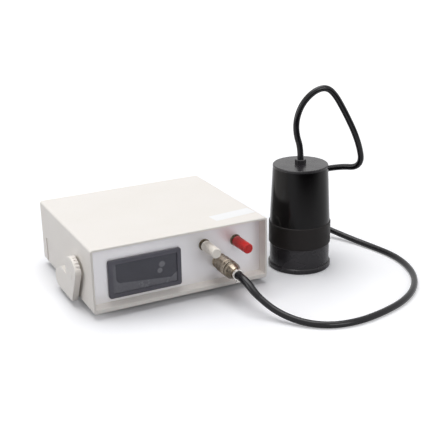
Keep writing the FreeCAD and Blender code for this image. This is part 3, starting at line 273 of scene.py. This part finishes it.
# Finishes, by the material slots of the parts list; the clamp's and the label's come after
ivory = {"pale": tone(244, 239, 233), "deep": tone(242, 237, 230), "specks": tone(226, 219, 210)}
finishes = {
    "case_plastic": mouldedPlastic("ivoryCase", **ivory),
    "stand_plastic": mouldedPlastic("ivoryStand", **ivory),
    "panel_paint": satinFilm("panelFilm", tone(242, 240, 242), tone(235, 234, 236), tone(240, 240, 242),
                             Metallic=0.6),
    "meter_plastic": mouldedPlastic("bezelSlate", tone(90, 89, 99), tone(80, 79, 88), rough=(0.32, 0.45)),
    # the window's third tone is the pale tone of its painted reflection and of the touch marks
    "window_smoke": smokedWindow("windowSmoke", tone(64, 64, 75), tone(57, 57, 67), tone(132, 132, 138),
                                 windowMarks),
    "digit_plastic": mouldedPlastic("digitPlastic", tone(120, 120, 124), tone(100, 100, 104)),
    "white_knob": mouldedPlastic("whiteKnob", tone(255, 250, 242), tone(249, 243, 233), rough=(0.26, 0.38)),
    "red_knob": mouldedPlastic("redKnob", tone(216, 42, 38), tone(190, 30, 30), rough=(0.28, 0.4)),
    "dark_metal": turnedMetal("darkMetal", tone(96, 92, 76), tone(60, 56, 46), rough=(0.22, 0.4)),
    "nickel": turnedMetal("nickelPlate", tone(166, 155, 140), tone(132, 122, 108)),
    "steel": turnedMetal("steelPlate", tone(190, 190, 190), tone(160, 160, 162), stretch=(1, 1, 1),
                         grain=900),
    "part_metal": turnedMetal("partMetal", tone(176, 176, 174), tone(150, 150, 150), stretch=(1, 1, 6),
                              grain=700),
    "brass": turnedMetal("brass", tone(204, 172, 98), tone(176, 142, 70)),
    "insulator": mouldedPlastic("insulator", tone(44, 40, 38), tone(34, 31, 30)),
    "cable_black": mouldedPlastic("cableBlack", tone(20, 19, 24), tone(15, 14, 18), grain=1800,
                                  rough=(0.16, 0.25), bump=0.06, Specular_IOR_Level=0.36),
    "foot_rubber": mouldedPlastic("footRubber", tone(52, 52, 53), tone(40, 40, 41), grain=900,
                                  rough=(0.6, 0.75)),
    "black_plastic": mouldedPlastic("blackPlastic", tone(34, 33, 34), tone(26, 25, 26), rough=(0.3, 0.42)),
    "probe_gloss": polishedPlastic("probeGloss", tone(16, 14, 15), tone(11, 10, 11), Specular_IOR_Level=0.22),
    "probe_satin": mouldedPlastic("probeSatin", tone(38, 35, 39), tone(31, 29, 32), rough=(0.2, 0.32),
                                  bump=0.08, Specular_IOR_Level=0.42),
    "probe_collar": mouldedPlastic("probeCollar", tone(27, 23, 22), tone(20, 17, 17), rough=(0.42, 0.56),
                                   Specular_IOR_Level=0.25),
    "clear_glass": polishedPlastic("clearGlass", tone(210, 220, 220), tone(200, 210, 210), rough=(0.03, 0.06),
                                   scratches=0.01, Transmission_Weight=0.9),
    "circuit": laminatedBoard("circuitBoard", tone(34, 96, 62), tone(26, 78, 50), tone(120, 150, 84)),
    "green_block": mouldedPlastic("greenBlock", tone(40, 130, 84), tone(30, 110, 70)),
    "core_iron": turnedMetal("coreIron", tone(92, 94, 100), tone(76, 78, 84), rough=(0.4, 0.6),
                             stretch=(1, 60, 1)),
    "coil_tape": mouldedPlastic("coilTape", tone(206, 176, 70), tone(190, 156, 56), rough=(0.25, 0.4)),
}
clampPlate = turnedMetal("clampPlate", tone(236, 234, 230), tone(220, 217, 212), rough=(0.14, 0.24))
labelPaper = mouldedPlastic("labelPaper", tone(252, 252, 252), tone(249, 249, 249), grain=1500,
                            rough=(0.3, 0.4), bump=0.1)
print("part finishes mixed:", len(finishes))

for part in frame["record"]["subparts"]:
    nodes[part["node"]].data.materials.clear()
    nodes[part["node"]].data.materials.append(finishes[part["material_slot"]])


# Shape helpers; sizes are millimetres until a piece is put in its place
closeTo = 0.0001    # points nearer than this are one


def soften(form, edges, offset, segments):
    bmesh.ops.bevel(form, geom=edges, offset=offset, affect="EDGES", segments=segments, profile=0.5,
                    material=-1)


def spun(profile, steps=72):
    # a profile of (radius, height) turned round the z axis
    form = bmesh.new()
    dots = [form.verts.new((radius, 0, height)) for radius, height in profile]
    lines = [form.edges.new(pair) for pair in zip(dots, dots[1:])]
    bmesh.ops.spin(form, geom=dots + lines, axis=(0, 0, 1), cent=(0, 0, 0), angle=math.tau, steps=steps,
                   use_merge=True)
    bmesh.ops.remove_doubles(form, verts=form.verts, dist=closeTo)
    return form


def slab(size, corner=0, edge=0):
    # a box centred on x and y that stands on z 0, with round upright corners and a softened top edge
    form = bmesh.new()
    bmesh.ops.create_cube(form, size=1)
    bmesh.ops.translate(form, verts=form.verts, vec=(0, 0, 0.5))
    bmesh.ops.scale(form, verts=form.verts, vec=size)
    if corner:
        upright = [e for e in form.edges if abs(e.verts[0].co.z - e.verts[1].co.z) > size[2] / 2]
        soften(form, upright, corner, segments=6)
    if edge:
        top = [e for e in form.edges if all(v.co.z > size[2] - closeTo for v in e.verts)]
        soften(form, top, edge, segments=3)
    return form


def finishForm(form, name, finish, body, spot, turn=None, replaced=(), crease=32):
    # millimetres to metres, turned and put in its place, then handed over with what it rides on
    bmesh.ops.transform(form, matrix=Matrix.Scale(0.001, 4), verts=form.verts)
    if turn:
        bmesh.ops.transform(form, matrix=turn, verts=form.verts)
    bmesh.ops.translate(form, verts=form.verts, vec=spot)
    bmesh.ops.recalc_face_normals(form, faces=form.faces)
    mesh = bpy.data.meshes.new(name)
    form.to_mesh(mesh)
    form.free()
    mesh.polygons.foreach_set("use_smooth", [True] * len(mesh.polygons))
    mesh.set_sharp_from_angle(angle=math.radians(crease))
    made = bpy.data.objects.new(name, mesh)
    scene.collection.objects.link(made)
    mesh.materials.append(finish)
    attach(made, body)
    if replaced:
        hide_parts(*replaced)
    return made


def joined(first, *others):
    # several forms in one, so that they become one piece
    for other in others:
        mesh = bpy.data.meshes.new("held")
        other.to_mesh(mesh)
        other.free()
        first.from_mesh(mesh)
        bpy.data.meshes.remove(mesh)
    return first


def rod(radius, top, long, segments):
    # a closed round bar along z, centred on its middle, with its own radius at the top
    form = bmesh.new()
    bmesh.ops.create_cone(form, cap_ends=True, segments=segments, radius1=radius, radius2=top, depth=long)
    return form


def moved(form, *step):
    bmesh.ops.translate(form, verts=form.verts, vec=step)
    return form


def drawIn(vert, radius):
    # moves a point straight towards the z axis or away from it
    vert.co.xy = vert.co.xy * (radius / vert.co.xy.length)


def raised(form, face, rise, radius):
    # draws a face out along z and leaves its new edge round, at the radius given
    face = bmesh.ops.extrude_discrete_faces(form, faces=[face])["faces"][0]
    for vert in face.verts:
        drawIn(vert, radius)
    bmesh.ops.translate(form, verts=face.verts, vec=(0, 0, rise))
    return face


def endFace(form, top=True):
    return (max if top else min)(form.faces, key=lambda face: face.calc_center_median().z)


# Knurled coupling ring of the plug; heights are millimetres out of the panel
socketSpot = (148.5, 14, 24.6)
ring = {
    "back": 8.0, "front": 26.6, "radius": 9.3, "bore": 7.85, "lipFrom": 16.6, "lipBore": 6.8,
    "knurlFrom": 9.4, "knurlTo": 20.8, "rows": 17, "teeth": 54, "depth": 0.28,
    "backSteps": [(0.5, 0), (0.25, 0.3)],               # in from the radius, and out from the back
    "land": (0.25, 0.1),                                # the same, short of the knurl
    "neckSteps": [(0.45, 0.2), (0.45, 1.2), (0, 1.5)],  # and past it
    "frontSteps": [(0, 0.7), (0.6, 0)],                 # and back from the front
}


def knurledRing(facts):
    radius, start, end = facts["radius"], facts["knurlFrom"], facts["knurlTo"]
    pitch = (end - start) / facts["rows"]
    profile = [(radius - inward, facts["back"] + out) for inward, out in facts["backSteps"]]
    profile.append((radius - facts["land"][0], start - facts["land"][1]))
    profile += [(radius, start + pitch * row) for row in range(facts["rows"] + 1)]
    profile += [(radius - inward, end + out) for inward, out in facts["neckSteps"]]
    profile += [(radius - inward, facts["front"] - out) for inward, out in facts["frontSteps"]]
    profile += [(facts["lipBore"], facts["front"]), (facts["lipBore"], facts["lipFrom"]),
                (facts["bore"], facts["lipFrom"]), (facts["bore"], facts["back"]), profile[0]]
    form = spun(profile, steps=facts["teeth"] * 2)
    step = math.pi / facts["teeth"]
    near = pitch / 10
    for vert in form.verts:
        # every other point of the band sinks, and the rows take turns, which leaves small pyramids
        if vert.co.xy.length > radius - near and start + near < vert.co.z < end - near:
            column = round(math.atan2(vert.co.y, vert.co.x) / step)
            row = round((vert.co.z - start) / pitch)
            if (row + column) % 2:
                drawIn(vert, vert.co.xy.length - facts["depth"])
    return form


ringPiece = finishForm(knurledRing(ring), "knurledRing", finishes["nickel"], "plug_coupling",
                       fromCorner(*socketSpot), toFront, replaced=["coupling_ring"], crease=20)

# Cable clamp behind the plug: a band drawn together by a screw through two lugs
clamp = {
    "back": 41.4, "front": 44.6, "radius": 5.9, "bore": 4.0, "edge": 0.3,
    "lug": (1.1, 3.4), "lugCorner": 0.3, "lugEdge": 0.25, "lugApart": 2.6 / 3, "lugDrop": 1.1,
    "screwRadius": 1.25, "screwLong": 5.2, "screwDrop": 1.5,
}


def cableClamp(facts):
    radius, edge, back, front = (facts[k] for k in ("radius", "edge", "back", "front"))
    bore = facts["bore"]
    pieces = [spun([(bore, back), (radius - edge, back), (radius, back + edge), (radius, front - edge),
                    (radius - edge, front), (bore, front), (bore, back)])]
    for side in (-1, 1):
        lug = slab((*facts["lug"], front - back), facts["lugCorner"], facts["lugEdge"])
        pieces.append(moved(lug, side * facts["lugApart"], -radius - facts["lugDrop"], back))
    screw = rod(facts["screwRadius"], facts["screwRadius"], facts["screwLong"], segments=24)
    bmesh.ops.rotate(screw, verts=screw.verts, matrix=Matrix.Rotation(math.pi / 2, 3, "Y"))
    pieces.append(moved(screw, 0, -radius - facts["screwDrop"], (back + front) / 2))
    return joined(*pieces)


clampPiece = finishForm(cableClamp(clamp), "cableClamp", clampPlate, "root",
                        fromCorner(*socketSpot), toFront, replaced=["plug_clamp"])

# Ribbed knobs with a ring sunk in the end face
knobs = [
    {"name": "whiteKnob", "body": "zero_control", "slot": "white_knob", "node": "zero_knob",
     "spot": (131, 14, 46.8), "reach": 29.6},
    {"name": "redKnob", "body": "calibrate_control", "slot": "red_knob", "node": "calibrate_knob",
     "spot": (168.2, 14, 45.1), "reach": 30.0},
]
knobForm = {
    "back": 4.3, "radius": 5.8, "endRadius": 5.55, "bore": 3.05, "boreRoof": 4.6,
    "ribs": 20, "ribDepth": 0.5, "ribPoints": 6, "sunkPoints": (0, 1),
    "edge": 0.55, "endSet": 0.2, "baseSet": 0.3,
    "endSteps": [(3.9, 0), (3.75, -0.4), (2.9, 0), (2.75, 0.4)],    # radius and rise, step by step inwards
    "skirt": 1.6, "skirtWall": 0.5, "skirtProud": 0.02,
}


def ribbedKnob(facts, reach):
    radius, back = facts["radius"], facts["back"]
    points = facts["ribs"] * facts["ribPoints"]
    tall = reach - back - facts["edge"]
    form = moved(rod(radius, facts["endRadius"], tall, points), 0, 0, tall / 2 + back)
    for vert in form.verts:
        place = round(math.atan2(vert.co.y, vert.co.x) / (math.tau / points))
        if place % facts["ribPoints"] in facts["sunkPoints"]:
            drawIn(vert, vert.co.xy.length - facts["ribDepth"])
    end = raised(form, endFace(form), facts["edge"], facts["endRadius"] - facts["edge"] - facts["endSet"])
    for stepRadius, rise in facts["endSteps"]:
        end = raised(form, end, rise, stepRadius)
    base = raised(form, endFace(form, False), 0, radius - facts["ribDepth"] - facts["baseSet"])
    base = raised(form, base, 0, facts["bore"])
    raised(form, base, reach - back - facts["boreRoof"], facts["bore"])
    inner, outer, top = radius - facts["skirtWall"], radius + facts["skirtProud"], back + facts["skirt"]
    return joined(form, spun([(inner, back), (outer, back), (outer, top), (inner, top), (inner, back)]))


for knob in knobs:
    finishForm(ribbedKnob(knobForm, knob["reach"]), knob["name"], finishes[knob["slot"]], knob["body"],
               fromCorner(*knob["spot"]), toFront, replaced=[knob["node"]], crease=28)

# Washers under the control nuts
washer = {"radius": 6.5, "bore": 4.6, "thick": 0.5, "edge": 0.15}
for knob in knobs:
    wide, thick, bore, edge = (washer[k] for k in ("radius", "thick", "bore", "edge"))
    disc = spun([(bore, 0), (wide, 0), (wide, thick - edge), (wide - edge, thick), (bore, thick), (bore, 0)])
    finishForm(disc, knob["name"] + "Washer", finishes["nickel"], "root", fromCorner(*knob["spot"]),
               toFront)
print("plug and controls dressed")

# Screws with a cross recess: four in the feet, two at the mains inlet, three on a ring under the probe
probeAxis, probeRing = (260, 31.3), 17
screws = {
    "case_screws": {"name": "caseScrews", "head": 2.2, "shank": 14, "turn": toFloor,
                    "spots": [(x, y, -4.0) for x in (14, 186) for y in (24, 151)]},
    "inlet_screws": {"name": "inletScrews", "head": 1.8, "shank": 6, "turn": toRear,
                     "spots": [(x, 168, 36) for x in (130, 170)]},
    "probe_screws": {"name": "probeScrews", "head": 1.6, "shank": 10, "turn": toFloor,
                     "spots": [(probeAxis[0] + probeRing * c, probeAxis[1] + probeRing * s, -5.2)
                               for c, s in ((1, 0), (-0.5, 0.866), (-0.5, -0.866))]},
}
screwForm = {"radius": 3.0, "taper": 0.3, "shankRadius": 1.5,
             "crossWide": 0.55, "crossLong": 1.7, "crossDeep": 0.9}


def crossScrew(facts, head, shank):
    form = moved(rod(facts["radius"], facts["radius"] - facts["taper"], head, segments=40), 0, 0, head / 2)
    half, reach = facts["crossWide"] / 2, facts["crossLong"]
    for axis in ((1, 0, 0), (0, 1, 0)):
        for place in (-reach, -half, half, reach):
            bmesh.ops.bisect_plane(form, geom=form.verts[:] + form.edges[:] + form.faces[:], dist=closeTo,
                                   plane_co=[c * place for c in axis], plane_no=axis)
    cross = []
    for face in form.faces:
        middle = face.calc_center_median()
        near, far = sorted((abs(middle.x), abs(middle.y)))
        if middle.z > head - closeTo * 10 and near < half and far < reach:
            cross.append(face)
    sunk = bmesh.ops.extrude_face_region(form, geom=cross)["geom"]
    bmesh.ops.delete(form, geom=cross, context="FACES_ONLY")
    bmesh.ops.translate(form, verts=[v for v in sunk if isinstance(v, bmesh.types.BMVert)],
                        vec=(0, 0, -facts["crossDeep"]))
    body = rod(facts["shankRadius"], facts["shankRadius"], shank, segments=24)
    return joined(form, moved(body, 0, 0, -shank / 2))


for node, facts in screws.items():
    forms = []
    for spot in facts["spots"]:
        form = crossScrew(screwForm, facts["head"], facts["shank"])
        bmesh.ops.transform(form, matrix=facts["turn"], verts=form.verts)
        forms.append(moved(form, *spot))
    finishForm(joined(*forms), facts["name"], finishes["steel"], "root", fromCorner(0, 0, 0),
               replaced=[node])
print("screws driven in")

# Off and on marks on the rear rocker, each flat on its own slope
rocker = {"spot": (106, 164, 36), "tip": 10, "slope": 11, "along": 4.0, "face": 2.96, "thick": 0.12,
          "ringInner": 1.05, "ringOuter": 1.45, "bar": (0.42, 2.7)}
inner, outer, thick = rocker["ringInner"], rocker["ringOuter"], rocker["thick"]
ringMark = spun([(inner, 0), (outer, 0), (outer, thick), (inner, thick), (inner, 0)], steps=40)
barMark = slab((*rocker["bar"], thick))
tipped = toRear @ Matrix.Rotation(math.radians(rocker["tip"]), 4, "X")
for form, name, side in ((ringMark, "offMark", 1), (barMark, "onMark", -1)):
    slope = Matrix.Rotation(math.radians(side * rocker["slope"]), 4, "X")
    bmesh.ops.transform(form, matrix=slope, verts=form.verts)
    finishForm(moved(form, 0, side * rocker["along"], rocker["face"]), name, finishes["white_knob"],
               "switch_rocker", fromCorner(*rocker["spot"]), tipped)
print("rocker marked")

# Blank label on the lid
label = {"middle": (171.2, 26.4, 70), "size": (50, 16.5, 0.12), "corner": 1, "turn": 5.5}
finishForm(slab(label["size"], label["corner"]), "lidLabel", labelPaper, "root",
           fromCorner(*label["middle"]), Matrix.Rotation(math.radians(label["turn"]), 4, "Z"))
print("label stuck on")

# Cable from the probe to the plug, and the sleeve shrunk over its end
cable = {
    "diameter": 0.007,      # metres, as is the length
    "length": 0.840,
    "sleeve": [0.3, 0.55, 1.1, 1.26, 1.2],      # its width against the cable's, at the route's last points
    "route": [
        (117, -48.2, 122), (117, -48.2, 138), (112.5, -46, 153), (112, -46, 170), (118, -47.7, 187),
        (128, -51.7, 199), (138, -55, 204), (147, -56.5, 202.5), (155.5, -57, 194), (163.5, -57.5, 181.5),
        (172.5, -58, 166), (182, -58.5, 148), (190, -57.5, 129), (194.5, -55, 113.5), (192, -47.5, 104),
        (185, -31.5, 102), (170, -9.5, 95), (156, 11.5, 80), (150, 26.5, 58), (157, 33.5, 35),
        (175, 26.5, 18), (193, 4.5, 10), (206, -24.5, 5), (215.5, -56.5, 3.5), (221, -88.5, 3.5),
        (217, -119.5, 3.5), (204.5, -149.5, 3.5), (182, -176.5, 3.5), (153, -195.5, 3.5), (119, -206.5, 3.5),
        (85, -211.5, 3.5), (56, -205.5, 3.5), (35, -188.5, 4.5), (19.8, -165, 9.3), (8.6, -143.3, 21),
        (5.5, -125.5, 31.6), (5.5, -112.5, 31.6),
    ],
}


def layCable(name, route, diameter, swell=None):
    # the route is millimetres in the frame; swell widens the line at each point
    curve = bpy.data.curves.new(name, "CURVE")
    curve.dimensions = "3D"
    curve.bevel_depth = diameter / 2
    curve.bevel_resolution = 6
    curve.resolution_u = 12
    curve.use_fill_caps = True
    line = curve.splines.new("NURBS")
    line.points.add(len(route) - 1)
    for point, spot, size in zip(line.points, route, swell or [1] * len(route)):
        point.co = (*(c / 1000 for c in spot), 1)
        point.radius = size
    line.order_u = 3
    line.use_endpoint_u = True
    made = bpy.data.objects.new(name, curve)
    scene.collection.objects.link(made)
    curve.materials.append(finishes["cable_black"])
    return made


probeCable = layCable("probeCable", cable["route"], cable["diameter"])
sleeve = layCable("cableSleeve", cable["route"][-len(cable["sleeve"]):], cable["diameter"], cable["sleeve"])
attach(sleeve, "root")
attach(probeCable, "root")
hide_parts("probe_cord")
print("cable laid")

# Table, lamps and surroundings
table = {
    "reach": 6.0,
    "pale": (250, 250, 252),
    "rough": 0.8,
    "shine": 0.1,
    "bounce": 0.35,
    # glow that the camera sees on the table: none within liftFrom of the middle and rising to liftFar,
    # painted shade that deepens the shadow next to the case and probe
    "liftNear": 0.0, "liftFar": 0.2, "liftFrom": 0.12, "liftTo": 0.21,
    "fadeFrom": 0.16, "fadeTo": 0.8,
    "edgeFront": -0.45, "edgeSoft": 0.12,   # the front edge
    "room": 0.02,                           # strength of the dark room past it
}
lamps = [
    {"name": "overheadSoftbox", "spot": (-0.05, 0.22, 1.6), "aim": (0.02, 0.0, 0.03), "size": 1.4,
     "power": 20},
    {"name": "leftSoftbox", "spot": (-1.45, 0.5, 0.5), "aim": (0.0, 0.0, 0.05), "size": 1.0, "power": 8},
    {"name": "frontFill", "spot": (0.15, -1.7, 0.9), "aim": (0.0, 0.0, 0.05), "size": 1.0, "power": 9.5},
]
surroundings = {"onObject": (0.13, 0.135, 0.15), "seen": (1, 1, 1)}


def seenRay(tree):
    # 1 for what the camera sees straight, in a reflection or through glass, 0 for light on the object
    path = addNode(tree, "LightPath").outputs
    first = calculate(tree, "MAXIMUM", path["Is Camera Ray"], path["Is Glossy Ray"])
    return calculate(tree, "MAXIMUM", first, path["Is Transmission Ray"])


def makeTable(facts):
    form = bmesh.new()
    bmesh.ops.create_circle(form, cap_ends=True, segments=64, radius=facts["reach"])
    mesh = bpy.data.meshes.new("table")
    form.to_mesh(mesh)
    form.free()
    made = bpy.data.objects.new("table", mesh)
    scene.collection.objects.link(made)
    material = bpy.data.materials.new("tableTop")
    material.use_nodes = True
    tree = material.node_tree
    shader = tree.nodes["Principled BSDF"]
    shader.inputs["Roughness"].default_value = facts["rough"]
    shader.inputs["Specular IOR Level"].default_value = facts["shine"]
    place = addNode(tree, "TexCoord").outputs["Object"]
    away = addNode(tree, "VectorMath", {0: place}, operation="LENGTH").outputs["Value"]
    fade = spread(tree, away, 0, 1, facts["fadeFrom"], facts["fadeTo"])
    path = addNode(tree, "LightPath").outputs
    dull = [c * facts["bounce"] for c in tone(*facts["pale"])[:3]] + [1.0]
    colour = mixTones(tree, path["Is Diffuse Ray"], tone(*facts["pale"]), dull)
    tree.links.new(colour, shader.inputs["Base Color"])
    seen = calculate(tree, "MULTIPLY", fade, seenRay(tree))
    glow = addNode(tree, "Emission", {"Strength": 1.0}).outputs[0]
    lit = addNode(tree, "MixShader", {0: seen, 1: shader.outputs[0], 2: glow}).outputs[0]
    # the glow rises with distance from the middle and stays off next to the objects: painted shade there
    strength = spread(tree, away, facts["liftNear"], facts["liftFar"], facts["liftFrom"], facts["liftTo"])
    strength = calculate(tree, "MULTIPLY", path["Is Camera Ray"], strength)
    lift = addNode(tree, "Emission", {"Strength": strength}).outputs[0]
    lifted = addNode(tree, "AddShader", {0: lit, 1: lift}).outputs[0]
    # past the table's front edge a shiny surface mirrors the dark room
    front = addNode(tree, "SeparateXYZ", {"Vector": place}).outputs["Y"]
    past = spread(tree, front, 1, 0, facts["edgeFront"] - facts["edgeSoft"],
                  facts["edgeFront"] + facts["edgeSoft"])
    dark = calculate(tree, "MULTIPLY", past, path["Is Glossy Ray"])
    room = addNode(tree, "Emission", {"Strength": facts["room"]}).outputs[0]
    mix = addNode(tree, "MixShader", {0: dark, 1: lifted, 2: room}).outputs[0]
    tree.links.new(mix, tree.nodes["Material Output"].inputs["Surface"])
    mesh.materials.append(material)


def makeLamp(facts):
    data = bpy.data.lights.new(facts["name"], "AREA")
    data.size = facts["size"]
    data.energy = facts["power"]
    holder = bpy.data.objects.new(facts["name"], data)
    holder.location = facts["spot"]
    toAim = Vector(facts["aim"]) - Vector(facts["spot"])
    holder.rotation_euler = toAim.to_track_quat("-Z", "Y").to_euler()
    scene.collection.objects.link(holder)


def makeWorld(facts):
    world = bpy.data.worlds.new("studio")
    world.use_nodes = True
    scene.world = world
    tree = world.node_tree
    tree.nodes.clear()
    plain, white = (addNode(tree, "Background", {"Color": (*facts[k], 1), "Strength": 1.0}).outputs[0]
                    for k in ("onObject", "seen"))
    mix = addNode(tree, "MixShader", {0: seenRay(tree), 1: plain, 2: white}).outputs[0]
    out = tree.nodes.new("ShaderNodeOutputWorld")
    tree.links.new(mix, out.inputs["Surface"])


makeTable(table)
for lamp in lamps:
    makeLamp(lamp)
makeWorld(surroundings)
scene.view_settings.view_transform = "Standard"
print("table and lamps ready")
